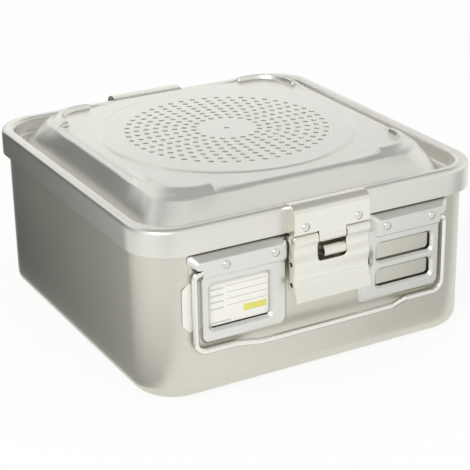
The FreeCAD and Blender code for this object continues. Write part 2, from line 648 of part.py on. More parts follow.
def finish_bracket(shell, holes):
    return shell.cut(Part.Compound(holes)).removeSplitter()


def make_label_card():
    y = WALL_Y
    x0, x1 = CARD_X
    z0, z1 = CARD_Z
    c = CARD_CHAMFER
    outline = [(x0 + c, z0), (x1, z0), (x1, z1), (x0 + c, z1), (x0, z1 - c), (x0, z0 + c), (x0 + c, z0)]
    card = Part.Face(Part.makePolygon([V(x, y, z) for x, z in outline]))
    return card.extrude(V(0, -CARD_THICKNESS, 0))


# Rivet with a domed outer head; the parts are stacked along Y from the outer face inwards
def rivet(x, z, face_y, end_y, spacer=None, inner_head=False):
    r, h = RIVET_HEAD_RADIUS, RIVET_HEAD_HEIGHT
    dome_radius = (r * r + h * h) / (2 * h)
    dome = Part.makeSphere(dome_radius, V(x, face_y - h + dome_radius, z))
    dome = dome.common(Part.makeCylinder(r + 1, h + 1, V(x, face_y - h - 1, z), V(0, 1, 0)))
    pieces = [Part.makeCylinder(RIVET_RADIUS, end_y - face_y, V(x, face_y, z), V(0, 1, 0))]
    if spacer:
        start, stop = spacer
        pieces.append(Part.makeCylinder(SPACER_RADIUS, stop - start, V(x, start, z), V(0, 1, 0)))
    if inner_head:
        pieces.append(Part.makeCylinder(RIVET_HEAD_RADIUS, RIVET_INNER_HEAD, V(x, end_y, z), V(0, 1, 0)))
    return dome.multiFuse(pieces).removeSplitter()


def make_bracket_rivets(places):
    band_front = WALL_Y - BAND_DEPTH
    spacer = (band_front + BRACKET_SHEET, WALL_Y)
    return Part.Compound([rivet(x, z, band_front, WALL_Y + SHEET, spacer, True) for x, z in places])


def make_catch_rivets():
    rivets = []
    for x, z in catch_rivet_places():
        one = rivet(x, z, WALL_Y - CATCH_SHEET, WALL_Y + SHEET, None, True)
        rivets += [one, to_rear(one)]
    return Part.Compound(rivets)


def make_clip_rivets():
    rivets = []
    for x, z in clip_rivet_places():
        one = rivet(x, z, CLIP_FRONT_Y, -RIM_HALF_Y + SHEET)
        rivets += [one, to_rear(one)]
    return Part.Compound(rivets)


# Path of straight runs with round bends, from its corner points and bend radii
def bent_path(points, radii):
    edges = []
    here = points[0]
    for before, corner, after, radius in zip(points, points[1:], points[2:], radii):
        arrive = (corner - before).normalize()
        leave = (after - corner).normalize()
        turn = arrive.getAngle(leave)
        setback = radius * math.tan(turn / 2)
        start = corner - setback * arrive
        end = corner + setback * leave
        inward = (leave - arrive).normalize()
        middle = corner + inward * (radius / math.cos(turn / 2) - radius)
        edges.append(Part.makeLine(here, start))
        edges.append(Part.Arc(start, middle, end).toShape())
        here = end
    edges.append(Part.makeLine(here, points[-1]))
    return Part.Wire(edges)


# Bail: legs from the bracket pivots down to a grip that is set off from the wall
def make_front_handle():
    y = WALL_Y - PIVOT_DEPTH
    grip_y = y - GRIP_OFFSET
    half = [V(BAIL_END, y, PIVOT_Z), V(BAIL_HALF, y, PIVOT_Z), V(BAIL_HALF, y, BAIL_BOTTOM),
            V(JOGGLE_HALF, y, BAIL_BOTTOM), V(GRIP_HALF, grip_y, BAIL_BOTTOM)]
    other = [V(-p.x, p.y, p.z) for p in reversed(half)]
    path = bent_path(half + other, BAIL_BENDS + BAIL_BENDS[::-1])
    ring = Part.Wire(Part.makeCircle(WIRE_RADIUS, half[0], V(1, 0, 0)))
    return path.makePipeShell([ring], True, False)


# Filter pad, the slotted plate that holds it, and the stud and knob at its centre
def make_filter_disc():
    pad = Part.makeCylinder(FILTER_RADIUS, FILTER_THICKNESS, V(0, 0, PLATEAU_UNDER - FILTER_THICKNESS))
    hole = Part.makeCylinder(STUD_RADIUS + STUD_COLLAR + 2, 10, V(0, 0, PLATEAU_UNDER - 5))
    return pad.cut(hole)


def make_filter_retainer():
    top = PLATEAU_UNDER - FILTER_THICKNESS
    bottom = top - RETAINER_SHEET
    plate = Part.makeCylinder(RETAINER_RADIUS, PLATEAU_UNDER - bottom, V(0, 0, bottom))
    plate = plate.makeFillet(2.0, edges_at(plate, bottom))
    well = Part.makeCylinder(RETAINER_RADIUS - RETAINER_SHEET, FILTER_THICKNESS + 1, V(0, 0, top))
    plate = plate.cut(well)
    cuts = [Part.makeCylinder(STUD_RADIUS + RUNNING_GAP, 20, V(0, 0, bottom - 10))]
    for index in range(RETAINER_SLOTS):
        start = SLOT_STARTS[index % 2]
        slot = box_between(start, SLOT_END, -SLOT_HALF, SLOT_HALF, bottom - 1, top + 1)
        depth = top - bottom + 2
        ends = [Part.makeCylinder(SLOT_HALF, depth, V(x, 0, bottom - 1)) for x in (start, SLOT_END)]
        slot = slot.multiFuse(ends).removeSplitter()
        slot.rotate(V(0, 0, 0), V(0, 0, 1), 360 * index / RETAINER_SLOTS)
        cuts.append(slot)
    return plate.cut(Part.Compound(cuts))


def make_retainer_stud():
    collar_foot = PLATEAU_UNDER - FILTER_THICKNESS
    bottom = collar_foot - STUD_LENGTH
    collar = Part.makeCylinder(STUD_RADIUS + STUD_COLLAR, FILTER_THICKNESS, V(0, 0, collar_foot))
    top = Part.makeCylinder(HOLE_RADIUS, 0.6 * SHEET, V(0, 0, PLATEAU_UNDER))
    shank = Part.makeCylinder(STUD_RADIUS, STUD_LENGTH, V(0, 0, bottom))
    shank = shank.makeFillet(0.8, edges_at(shank, bottom))
    return collar.multiFuse([top, shank]).removeSplitter()


def make_retainer_knob():
    top = PLATEAU_UNDER - FILTER_THICKNESS - RETAINER_SHEET
    knob = Part.makeCylinder(KNOB_RADIUS, KNOB_HEIGHT, V(0, 0, top - KNOB_HEIGHT))
    knob = fillet_at(knob, 1.5, top - KNOB_HEIGHT)
    grips = []
    for index in range(6):
        place = (KNOB_RADIUS + 2.5) * direction(60 * index) + V(0, 0, top - KNOB_HEIGHT - 1)
        grips.append(Part.makeCylinder(KNOB_GRIP, KNOB_HEIGHT + 2, place))
    bore = Part.makeCylinder(STUD_RADIUS + RUNNING_GAP, KNOB_HEIGHT + 2, V(0, 0, top - KNOB_HEIGHT - 1))
    return knob.cut(Part.Compound(grips + [bore]))


def build():
    clip = make_front_clip()
    pin = make_front_hinge_pin()
    lever = make_front_lever()
    catch = make_front_catch()
    handle = make_front_handle()
    slotted = make_slotted_bracket()
    return {
        "tub": make_tub(),
        "front_catch": catch,
        "rear_catch": to_rear(catch),
        "catch_rivets": make_catch_rivets(),
        "label_bracket": make_label_bracket(),
        "slotted_bracket": slotted,
        "rear_left_bracket": to_rear(mirrored(slotted)),
        "rear_right_bracket": to_rear(slotted),
        "front_bracket_rivets": make_bracket_rivets(bracket_rivet_places()),
        "rear_bracket_rivets": to_rear(make_bracket_rivets(rear_rivet_places())),
        "label_card": make_label_card(),
        "lid_shell": make_lid_shell(),
        "lid_gasket": make_lid_gasket(),
        "front_clip": clip,
        "rear_clip": to_rear(clip),
        "clip_rivets": make_clip_rivets(),
        "front_hinge_pin": pin,
        "rear_hinge_pin": to_rear(pin),
        "front_lever": lever,
        "rear_lever": to_rear(lever),
        "front_handle": handle,
        "rear_handle": to_rear(handle),
        "filter_disc": make_filter_disc(),
        "filter_retainer": make_filter_retainer(),
        "retainer_stud": make_retainer_stud(),
        "retainer_knob": make_retainer_knob(),
    }


os.makedirs("parts", exist_ok=True)
for name, shape in build().items():
    solids = shape.Solids
    volume = round(shape.Volume / 1000, 2)
    print(name, "solids", len(solids), "volume", volume, "cm3", "valid", shape.isValid())
    whole = solids[0] if len(solids) == 1 else Part.Compound(solids)
    whole.exportStep("parts/" + name + ".step")
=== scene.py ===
import math

import bmesh
import bpy
import numpy as np
from mathutils import Matrix, Vector, geometry


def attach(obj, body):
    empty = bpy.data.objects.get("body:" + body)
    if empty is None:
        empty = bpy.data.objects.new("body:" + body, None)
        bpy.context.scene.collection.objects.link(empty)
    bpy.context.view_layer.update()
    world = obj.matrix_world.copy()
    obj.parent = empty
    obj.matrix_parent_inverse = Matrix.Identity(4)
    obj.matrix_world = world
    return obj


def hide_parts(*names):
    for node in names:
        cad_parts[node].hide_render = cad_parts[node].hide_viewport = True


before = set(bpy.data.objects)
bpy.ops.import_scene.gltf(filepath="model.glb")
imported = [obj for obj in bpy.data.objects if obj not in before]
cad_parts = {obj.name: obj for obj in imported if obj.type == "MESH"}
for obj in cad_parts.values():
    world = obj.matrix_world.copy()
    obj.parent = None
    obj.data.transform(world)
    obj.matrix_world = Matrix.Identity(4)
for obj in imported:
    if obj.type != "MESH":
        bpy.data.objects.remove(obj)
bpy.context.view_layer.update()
print("frame loaded")

mm = 0.001
frontWall = -140.4  # the tub's front wall, mm


# Quads of a grid of rows x columns whose last column joins its first; numbering starts at the offset
def gridFaces(rows, columns, offset=0):
    i, j = np.meshgrid(np.arange(rows - 1), np.arange(columns), indexing="ij")
    k = (j + 1) % columns
    quads = np.stack([i * columns + j, i * columns + k, (i + 1) * columns + k, (i + 1) * columns + j], -1)
    return quads.reshape(-1, 4) + offset


# Fan of triangles that closes a ring of points at one centre point
def fanFaces(ring, centre, flip=False):
    ring = np.asarray(ring)
    fan = np.stack([ring, np.roll(ring, -1), np.full(len(ring), centre)], -1)
    return fan[:, ::-1] if flip else fan


# Mesh from points in mm and lists of faces, put into the frame at the origin
def addPiece(name, points, faceSets, material, body, nodes=(), sharpAngle=40.0, outward=True):
    mesh = bpy.data.meshes.new(name)
    points = np.asarray(points, np.float64) * mm
    counts = np.concatenate([np.full(len(f), f.shape[1]) for f in faceSets])
    loops = np.concatenate([f.reshape(-1) for f in faceSets]).astype(np.int32)
    mesh.vertices.add(len(points))
    mesh.vertices.foreach_set("co", points.reshape(-1).astype(np.float32))
    mesh.loops.add(len(loops))
    mesh.loops.foreach_set("vertex_index", loops)
    mesh.polygons.add(len(counts))
    starts = np.concatenate([[0], np.cumsum(counts)[:-1]]).astype(np.int32)
    mesh.polygons.foreach_set("loop_start", starts)
    mesh.polygons.foreach_set("loop_total", counts.astype(np.int32))
    mesh.update(calc_edges=True)
    mesh.validate()
    piece = bpy.data.objects.new(name, mesh)
    bpy.context.scene.collection.objects.link(piece)
    finishMesh(piece, sharpAngle, outward)
    mesh.materials.append(material)
    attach(piece, body)
    if nodes:
        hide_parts(*nodes)
    return piece


# Doubles merged, normals outwards, smooth shading that breaks at sharp edges
def finishMesh(piece, sharpAngle, outward):
    work = bmesh.new()
    work.from_mesh(piece.data)
    bmesh.ops.remove_doubles(work, verts=work.verts, dist=2e-6)
    if outward:
        bmesh.ops.recalc_face_normals(work, faces=work.faces)
    work.to_mesh(piece.data)
    work.free()
    smooth = np.ones(len(piece.data.polygons), bool)
    piece.data.polygons.foreach_set("use_smooth", smooth)
    piece.data.set_sharp_from_angle(angle=math.radians(sharpAngle))


# Several sets of points and faces put together in one mesh
def joined(parts):
    points, faceSets, offset = [], [], 0
    for p, sets in parts:
        p = np.asarray(p, float).reshape(-1, 3)
        points.append(p)
        faceSets += [np.asarray(f) + offset for f in sets]
        offset += len(p)
    return np.concatenate(points), faceSets


# Profile with its corners rounded: each corner becomes an arc tangent to both of its runs
def roundCorners(corners, steps=8):
    points = [np.array(corners[0][:2], float)]
    for before, here, after in zip(corners, corners[1:], corners[2:]):
        p, c, q = (np.array(v[:2], float) for v in (before, here, after))
        radius = here[2] if len(here) > 2 else 0
        if radius <= 0:
            points.append(c)
            continue
        a, b = (p - c) / np.linalg.norm(p - c), (q - c) / np.linalg.norm(q - c)
        half = math.acos(np.clip(a @ b, -1, 1)) / 2
        setback = radius / math.tan(half)
        centre = c + (a + b) / np.linalg.norm(a + b) * radius / math.sin(half)
        start, end = c + a * setback - centre, c + b * setback - centre
        turn = math.atan2(start[0] * end[1] - start[1] * end[0], start @ end)
        angles = np.linspace(0, turn, steps + 1)
        cos, sin = np.cos(angles), np.sin(angles)
        x, y = start[0] * cos - start[1] * sin, start[0] * sin + start[1] * cos
        points += list(centre + np.stack([x, y], 1))
    points.append(np.array(corners[-1][:2], float))
    return np.array(points)


# Rounded rectangle rows: quarter arcs and straight sides, one row for each set of sizes
def outlineRows(halfX, halfY, corner, arcSteps, shares):
    sizes = np.broadcast_arrays(halfX, halfY, corner)
    halfX, halfY, corner = (np.asarray(v, float)[:, None] for v in sizes)
    turn = np.linspace(0, math.pi / 2, arcSteps)[None, :]
    share = np.asarray(shares, float)[None, :]
    signs = ((1, 1), (-1, 1), (-1, -1), (1, -1))
    arcs = []
    for k, (sx, sy) in enumerate(signs):
        angle = turn + k * math.pi / 2
        x = sx * (halfX - corner) + corner * np.cos(angle)
        y = sy * (halfY - corner) + corner * np.sin(angle)
        arcs.append(np.stack([x, y], -1))
    row = []
    for k in range(4):
        end, begin = arcs[k][:, -1:], arcs[(k + 1) % 4][:, :1]
        row += [arcs[k], end + (begin - end) * share[..., None]]
    return np.concatenate(row, 1)


# Tube of round section along a smooth path of points, its frames kept free of twist
def tubeAlong(path, radius, sides=20):
    path = np.asarray(path, float)
    tangent = np.gradient(path, axis=0)
    tangent /= np.linalg.norm(tangent, axis=1)[:, None]
    normal = np.zeros_like(path)
    normal[0] = np.cross(tangent[0], [0.3, 0.1, 0.9])
    normal[0] /= np.linalg.norm(normal[0])
    for i in range(1, len(path)):  # carries the first normal along the path
        n = normal[i - 1] - (normal[i - 1] @ tangent[i]) * tangent[i]
        normal[i] = n / np.linalg.norm(n)
    side = np.cross(tangent, normal)
    a = np.linspace(0, 2 * math.pi, sides, endpoint=False)
    ring = normal[:, None] * np.cos(a)[None, :, None] + side[:, None] * np.sin(a)[None, :, None]
    radius = np.broadcast_to(radius, len(path))
    points = (path[:, None] + ring * radius[:, None, None]).reshape(-1, 3)
    n = len(path)
    caps = [fanFaces(np.arange(sides), n * sides, True),
            fanFaces(np.arange((n - 1) * sides, n * sides), n * sides + 1)]
    points = np.concatenate([points, path[:1], path[-1:]])
    return points, [gridFaces(n, sides)] + caps


# Straight runs with round bends between corner points
def bentPath(corners, radii, step=1.0):
    points = [np.array(corners[0], float)]
    for p, c, q, radius in zip(corners, corners[1:], corners[2:], radii):
        p, c, q = (np.array(v, float) for v in (p, c, q))
        a, b = (p - c) / np.linalg.norm(p - c), (q - c) / np.linalg.norm(q - c)
        half = math.acos(np.clip(a @ b, -1, 1)) / 2
        setback = radius / math.tan(half)
        bisector = (a + b) / np.linalg.norm(a + b)
        centre = c + bisector * radius / math.sin(half)
        u = (c + a * setback - centre) / radius
        sweep = math.pi - 2 * half
        w = (c + b * setback - centre) / radius
        w = w - (w @ u) * u
        w /= np.linalg.norm(w)
        angles = np.linspace(0, sweep, max(5, int(radius * sweep / step) + 2))
        points += list(centre + radius * (u * np.cos(angles)[:, None] + w * np.sin(angles)[:, None]))
    points.append(np.array(corners[-1], float))
    path = [points[0]]
    for p, q in zip(points, points[1:]):
        count = max(1, int(np.linalg.norm(q - p) / (3 * step)))
        path += [p + (q - p) * k / count for k in range(1, count + 1)]
    return np.array(path)


# Points turned half round about Z, from the front to the rear
def toRear(points):
    return np.asarray(points, float) * [-1, -1, 1]


# Smooth step from nought at the low value to one at the high value: 3 t squared - 2 t cubed
def ramp(x, low, high):
    t = np.clip((x - low) / (high - low), 0, 1)
    return t * t * (3 - 2 * t)


# Empty shader group with its sockets
def nodeGroup(name, inputs, outputs):
    group = bpy.data.node_groups.new(name, "ShaderNodeTree")
    for socket, kind, value in inputs:
        item = group.interface.new_socket(socket, in_out="INPUT", socket_type=kind)
        item.default_value = value
    for socket, kind in outputs:
        group.interface.new_socket(socket, in_out="OUTPUT", socket_type=kind)
    return group, group.nodes.new("NodeGroupInput"), group.nodes.new("NodeGroupOutput")


# Node with settings of its own; an input is either a value or the socket that feeds it
def addNode(tree, kind, inputs=None, **settings):
    node = tree.nodes.new(kind)
    for key, value in settings.items():
        setattr(node, key, value)
    for socket, value in (inputs or {}).items():
        if isinstance(value, bpy.types.NodeSocket):
            tree.links.new(value, node.inputs[socket])
        else:
            node.inputs[socket].default_value = value
    return node


# Fine satin of blasted, anodised metal: tone and roughness are multiplied by
# 1 + cloud x (noise + streaks - 1), the normal takes a tiny grain and the look of a rounded edge
def makeSatinGroup():
    group, source, sink = nodeGroup(
        "satinSheet",
        [("Tone", "NodeSocketColor", (0.7, 0.7, 0.68, 1)), ("Cloud", "NodeSocketFloat", 0.05),
         ("Roughness", "NodeSocketFloat", 0.35), ("Grain", "NodeSocketFloat", 0.3),
         ("Edge", "NodeSocketFloat", 0.0)],
        [("Color", "NodeSocketColor"), ("Roughness", "NodeSocketFloat"), ("Normal", "NodeSocketVector")])
    given = source.outputs
    place = addNode(group, "ShaderNodeTexCoord").outputs["Object"]
    cloud = addNode(group, "ShaderNodeTexNoise", {"Vector": place, "Scale": 14, "Detail": 4})
    stretched = addNode(group, "ShaderNodeMapping", {"Vector": place, "Scale": (40, 40, 900)})
    streak = addNode(group, "ShaderNodeTexNoise",
                     {"Vector": stretched.outputs["Vector"], "Scale": 1, "Detail": 3})
    both = addNode(group, "ShaderNodeMath", {0: cloud.outputs["Fac"], 1: streak.outputs["Fac"]},
                   operation="ADD")
    shift = addNode(group, "ShaderNodeMath", {0: both.outputs[0], 1: 1.0, 2: -1.0},
                    operation="MULTIPLY_ADD")
    amount = addNode(group, "ShaderNodeMath", {0: shift.outputs[0], 1: given["Cloud"], 2: 1.0},
                     operation="MULTIPLY_ADD")
    tone = addNode(group, "ShaderNodeVectorMath", {0: given["Tone"], "Scale": amount.outputs[0]},
                   operation="SCALE")
    rough = addNode(group, "ShaderNodeMath", {0: given["Roughness"], 1: amount.outputs[0]},
                    operation="MULTIPLY")
    grain = addNode(group, "ShaderNodeTexNoise", {"Vector": place, "Scale": 2200, "Detail": 2})
    edge = addNode(group, "ShaderNodeBevel", {"Radius": given["Edge"]}, samples=6)
    bump = addNode(group, "ShaderNodeBump",
                   {"Strength": given["Grain"], "Distance": 0.00004, "Height": grain.outputs["Fac"],
                    "Normal": edge.outputs["Normal"]})
    group.links.new(tone.outputs[0], sink.inputs["Color"])
    group.links.new(rough.outputs[0], sink.inputs["Roughness"])
    group.links.new(bump.outputs["Normal"], sink.inputs["Normal"])
    return group


satinSheet = makeSatinGroup()


# Mask of a rectangle in X and Z: one where the distance to its middle is less than half its size,
# else nought
def makeRectangleGroup():
    group, source, sink = nodeGroup(
        "rectangleMask",
        [("Middle", "NodeSocketVector", (0, 0, 0)), ("Half", "NodeSocketVector", (1, 1, 1))],
        [("Mask", "NodeSocketFloat")])
    place = addNode(group, "ShaderNodeTexCoord").outputs["Object"]
    apart = addNode(group, "ShaderNodeVectorMath", {0: place, 1: source.outputs["Middle"]},
                    operation="SUBTRACT")
    size = addNode(group, "ShaderNodeVectorMath", {0: apart.outputs[0]}, operation="ABSOLUTE")
    left = addNode(group, "ShaderNodeVectorMath", {0: source.outputs["Half"], 1: size.outputs[0]},
                   operation="SUBTRACT")
    parts = addNode(group, "ShaderNodeSeparateXYZ", {0: left.outputs[0]})
    inside = [addNode(group, "ShaderNodeMath", {0: parts.outputs[axis], 1: 0}, operation="GREATER_THAN")
              for axis in ("X", "Z")]
    both = addNode(group, "ShaderNodeMath", {0: inside[0].outputs[0], 1: inside[1].outputs[0]},
                   operation="MULTIPLY")
    group.links.new(both.outputs[0], sink.inputs["Mask"])
    return group


rectangleMask = makeRectangleGroup()


# Mask socket of one rectangle, given in mm as its ranges along X and Z
def rectangle(tree, rangeX, rangeZ):
    (x0, x1), (z0, z1) = rangeX, rangeZ
    area = addNode(tree, "ShaderNodeGroup", node_tree=rectangleMask)
    area.inputs["Middle"].default_value = ((x0 + x1) / 2 * mm, 0, (z0 + z1) / 2 * mm)
    area.inputs["Half"].default_value = ((x1 - x0) / 2 * mm, 1, (z1 - z0) / 2 * mm)
    return area.outputs["Mask"]


# New material with its node tree and its shader
def newMaterial(name):
    material = bpy.data.materials.new(name)
    material.use_nodes = True
    return material, material.node_tree, material.node_tree.nodes["Principled BSDF"]


# Material on the satin group; the edge radius, in mm, rounds the look of the solids' sharp edges
def satinMetal(name, tone, roughness, cloud=0.05, grain=0.3, metallic=1.0, edge=0.0):
    material, tree, shader = newMaterial(name)
    shader.inputs["Metallic"].default_value = metallic
    finish = addNode(tree, "ShaderNodeGroup", node_tree=satinSheet)
    values = {"Tone": (*tone, 1), "Cloud": cloud, "Roughness": roughness, "Grain": grain, "Edge": edge * mm}
    for socket, value in values.items():
        finish.inputs[socket].default_value = value
    for output, socket in (("Color", "Base Color"), ("Roughness", "Roughness"), ("Normal", "Normal")):
        tree.links.new(finish.outputs[output], shader.inputs[socket])
    return material


finishes = {
    "tub": dict(tone=(0.68, 0.668, 0.585), roughness=0.38, cloud=0.08, grain=0.35),
    "lid": dict(tone=(0.76, 0.752, 0.70), roughness=0.34, cloud=0.07, grain=0.35),
    "bracket": dict(tone=(0.76, 0.76, 0.72), roughness=0.34, cloud=0.04, grain=0.5, edge=0.9),
    "latch": dict(tone=(0.84, 0.83, 0.75), roughness=0.26, cloud=0.04, grain=0.15, edge=0.6),
    "rivet": dict(tone=(0.74, 0.735, 0.70), roughness=0.12, cloud=0.03, grain=0.1, edge=0.3),
    "pin": dict(tone=(0.45, 0.45, 0.44), roughness=0.3, cloud=0.05, grain=0.1, edge=0.3),
    "wire": dict(tone=(0.86, 0.85, 0.79), roughness=0.05, cloud=0.02, grain=0.0),
    "retainer": dict(tone=(0.66, 0.67, 0.67), roughness=0.35, cloud=0.05, grain=0.2, edge=0.4),
    "gasket": dict(tone=(0.10, 0.10, 0.10), roughness=0.6, cloud=0.15, grain=0.6, metallic=0.0),
    "knob": dict(tone=(0.06, 0.065, 0.07), roughness=0.45, cloud=0.1, grain=0.4, metallic=0.0),
    "filter": dict(tone=(0.80, 0.80, 0.78), roughness=0.9, cloud=0.06, grain=0.9, metallic=0.0),
}
finish = {key: satinMetal(key + "Finish", **values) for key, values in finishes.items()}
print("finishes made")

tub = dict(halfX=138.6, halfY=140.4, corner=33.7, sheet=2.0, foot=10.4, top=127.5, bead=1.3, beadHeight=5.0,
           beadRise=0.9, beadRound=0.8, lipRound=0.6, arcPoints=24, sidePoints=6,
           polished=(((40, 98), (47, 94)), ((-98, -40), (47, 94))), polish=0.14)


# Tub surface: a profile of (inset, height) carried round the rounded square, outside down and inside up
def tubPoints(t):
    s, f, beadZ, out = t["sheet"], t["foot"], t["top"] - t["beadHeight"], -t["bead"]
    profile = roundCorners([(t["halfX"], 0), (0, 0, f), (0, beadZ, t["beadRound"]),
                            (out, beadZ + t["beadRise"], t["beadRound"]), (out, t["top"], t["lipRound"]),
                            (s, t["top"], t["lipRound"]), (s, s, f - s), (t["halfX"], s)])
    inset, z = profile[1:-1, 0], profile[1:-1, 1]
    shares = np.arange(1, t["sidePoints"] + 1) / (t["sidePoints"] + 1)
    rows = outlineRows(t["halfX"] - inset, t["halfY"] - inset, np.maximum(t["corner"] - inset, 1),
                       t["arcPoints"], shares)
    points = np.concatenate([rows, np.broadcast_to(z[:, None, None], rows.shape[:2] + (1,))], -1)
    count, around = rows.shape[:2]
    centres = np.array([[0, 0, 0], [0, 0, s]], float)
    flat = points.reshape(-1, 3)
    n = len(flat)
    faces = [gridFaces(count, around), fanFaces(np.arange(around), n),
             fanFaces(np.arange((count - 1) * around, count * around), n + 1)]
    return np.concatenate([flat, centres]), faces


# Polished patches on a finish: inside each rectangle the roughness falls to the given one
def polishPatches(material, patches, polished):
    tree = material.node_tree
    roughness = tree.nodes["Principled BSDF"].inputs["Roughness"]
    for rangeX, rangeZ in patches:
        mask = rectangle(tree, rangeX, rangeZ)
        before = roughness.links[0].from_socket
        blend = addNode(tree, "ShaderNodeMix", {"Factor": mask, "A": before, "B": polished},
                        data_type="FLOAT")
        tree.links.new(blend.outputs["Result"], roughness)


# Painted dark reflection and shade along the outlines of the chrome wire and the rivets: the painted tone
# and the span of Facing over which it is laid
paintedOutlineReflections = {
    "wire": dict(paintedDark=(0.07, 0.065, 0.05), first=0.5, last=0.72),
    "rivet": dict(paintedDark=(0.12, 0.115, 0.1), first=0.45, last=0.8),
}


# Painted reflection and shade on polished metal, as of a dim room mirrored in it: the base colour is
# painted down to the dark tone between two values of Facing, which is nought where the surface faces the
# viewer and one at its outline
def paintOutlineReflection(material, paintedDark, first, last):
    tree = material.node_tree
    tone = tree.nodes["Principled BSDF"].inputs["Base Color"]
    facing = addNode(tree, "ShaderNodeLayerWeight", {"Blend": 0.5})
    span = addNode(tree, "ShaderNodeMapRange",
                   {"Value": facing.outputs["Facing"], "From Min": first, "From Max": last})
    blend = addNode(tree, "ShaderNodeMix", data_type="RGBA")
    blend.inputs["B"].default_value = (*paintedDark, 1)
    tree.links.new(span.outputs["Result"], blend.inputs["Factor"])
    tree.links.new(tone.links[0].from_socket, blend.inputs["A"])
    tree.links.new(blend.outputs["Result"], tone)


for key, values in paintedOutlineReflections.items():
    paintOutlineReflection(finish[key], **values)
polishPatches(finish["tub"], tub["polished"], tub["polish"])
points, faces = tubPoints(tub)
addPiece("tubShell", points, faces, finish["tub"], "tub", ["tub"])
print("tub made")

lid = dict(rimX=142.5, rimY=144.3, rimTop=133.9, skirt=113.7, sheet=2.0, rim=9.0, grooveFloor=120.0,
           panel=143.5, slopeFoot=16, slopeTop=31, flatFrom=38, slopeShift=0.6, rimRound=4.0,
           innerRound=3.0, grooveRound=2.5, footRound=3.0, shoulder=7.5, insets=(0, 16, 31, 38),
           insetsY=(0, 16, 30.8, 37.8), cornerInsets=(0, 9, 16, 31, 38),
           cornerRadii=(33.2, 28.6, 25, 27, 21), arcPoints=30, plateau=101.0, ringSpread=0.9,
           ringWidth=4.6, ringMargin=0.2, ringPoints=14, rise=1.0, innerRings=(94, 89), holed=84.0,
           nearShare=0.36, panelRows=(44, 18), innerRows=(16, 6), lugReach=9)
lugs = dict(x=78.3, y=80.3, innerFoot=(22.8, -1.5), outerFoot=(33.4, -0.6), peak=(25.2, 5.2), crest=0.9,
            crease=2.7, lean=0.12, arm=6.5, cap=4.0, fall=6.0, top=3.9, foot=0.4)


# Lower of two heights, the crease between them rounded: a mix by h less width x h (1 - h),
# where h rises from nought to one as b passes a
def softLower(a, b, width):
    h = np.clip(0.5 + 0.5 * (b - a) / width, 0, 1)
    return b + (a - b) * h - width * h * (1 - h)


# Height of a stacking lug above the panel: the lower of a steep inner and a long outer slope,
# round at the crest, which falls away past the ends of its arms
def lugHeight(x, y, g):
    ax, ay = np.abs(x) - g["x"], np.abs(y) - g["y"]
    r = np.where((ax > 0) & (ay > 0), np.hypot(ax, ay), np.where(ax > ay, ax, ay))
    past = np.maximum(np.where(ax > ay, -ay, -ax), 0)
    (innerR, innerZ), (outerR, outerZ), (peakR, peakZ) = g["innerFoot"], g["outerFoot"], g["peak"]
    inner = innerZ + (r - innerR) * (peakZ - innerZ) / (peakR - innerR)
    outer = outerZ + (outerR - r) * (peakZ - outerZ) / (outerR - peakR)
    height = softLower(inner, outer, g["crease"])
    height = softLower(height, g["top"] - g["lean"] * (r - innerR), g["crest"])
    end = np.clip((past - g["arm"]) / g["cap"], 0, 1)
    return height - g["fall"] * end ** 2


# Lid surface: rim, groove and slope as a profile round the outline, then the flat panel drawn in to the
# circle; the drop lowers and narrows it for the inner side of the sheet
def lidPoints(l, g, panelRows, drop=0.0, steps=8):
    d = drop
    rim, shift = l["rim"] - d, l["slopeShift"] * d
    top, floor, panel = l["rimTop"] - d, l["grooveFloor"] - d, l["panel"] - d
    corners = [(d, l["skirt"]), (d, top, l["rimRound"] - d), (rim, top, max(l["innerRound"] - d, 1.0)),
               (rim, floor, l["grooveRound"] + d),
               (l["slopeFoot"] + shift, floor, l["footRound"] + d * 0.5),
               (l["slopeTop"] + shift, panel, l["shoulder"] - d), (l["flatFrom"], panel)]
    profile = roundCorners(corners, steps)
    inset, z = profile[:, 0], profile[:, 1]
    insetY = np.interp(inset, l["insets"], l["insetsY"])
    corner = np.interp(inset, l["cornerInsets"], l["cornerRadii"])
    rows = outlineRows(l["rimX"] - inset, l["rimY"] - insetY, corner, l["arcPoints"], sideShares)
    outer = np.concatenate([rows, np.broadcast_to(z[:, None, None], rows.shape[:2] + (1,))], -1)
    last = rows[-1]
    angle = np.arctan2(last[:, 1], last[:, 0])
    unit = np.stack([np.cos(angle), np.sin(angle)], -1)
    near, far = panelRows
    part = l["nearShare"]
    share = np.concatenate([np.linspace(0, part, near)[1:], np.linspace(part, 1, far)[1:]])
    edge = l["plateau"] + l["ringSpread"]
    flat = last[None] + (unit[None] * edge - last[None]) * share[:, None, None]
    flat = np.concatenate([flat, np.full(flat.shape[:2] + (1,), panel)], -1)
    ring = np.linspace(edge, edge - l["ringWidth"], l["ringPoints"])[1:]
    radii = np.concatenate([ring, l["innerRings"], [l["holed"]]])
    margin = l["ringMargin"]
    heights = panel + l["rise"] * ramp(-radii, -edge + margin, -edge + l["ringWidth"] - margin)
    circle = np.concatenate([unit[None] * radii[:, None, None],
                             np.broadcast_to(heights[:, None, None], (len(radii), len(unit), 1))], -1)
    grid = np.concatenate([outer, flat, circle])
    lug = panel + lugHeight(grid[..., 0], grid[..., 1], g)
    raised = -softLower(-grid[..., 2], -lug, g["foot"])
    reached = (grid[..., 2] > panel - l["lugReach"]) & (lug > grid[..., 2] - g["foot"])
    grid[..., 2] = np.where(reached, np.minimum(raised, l["panel"] + g["top"] - d), grid[..., 2])
    return grid


# Shares of a side's length: close together beside the corners, where the lugs end
lugShare = 0.085
closeShares = np.linspace(0, lugShare, 15)[1:]
wideShares = np.linspace(lugShare, 1 - lugShare, 10)[1:-1]
sideShares = np.concatenate([closeShares, wideShares, 1 - closeShares[::-1]])
outerGrid = lidPoints(lid, lugs, lid["panelRows"])
innerGrid = lidPoints(lid, lugs, lid["innerRows"], lid["sheet"], 3)
around = outerGrid.shape[1]
both = np.concatenate([innerGrid[::-1], outerGrid])
faces = [gridFaces(len(both), around)]
addPiece("lidShell", both.reshape(-1, 3), faces, finish["lid"], "lid", ["lid_shell"])
print("lid shell made")

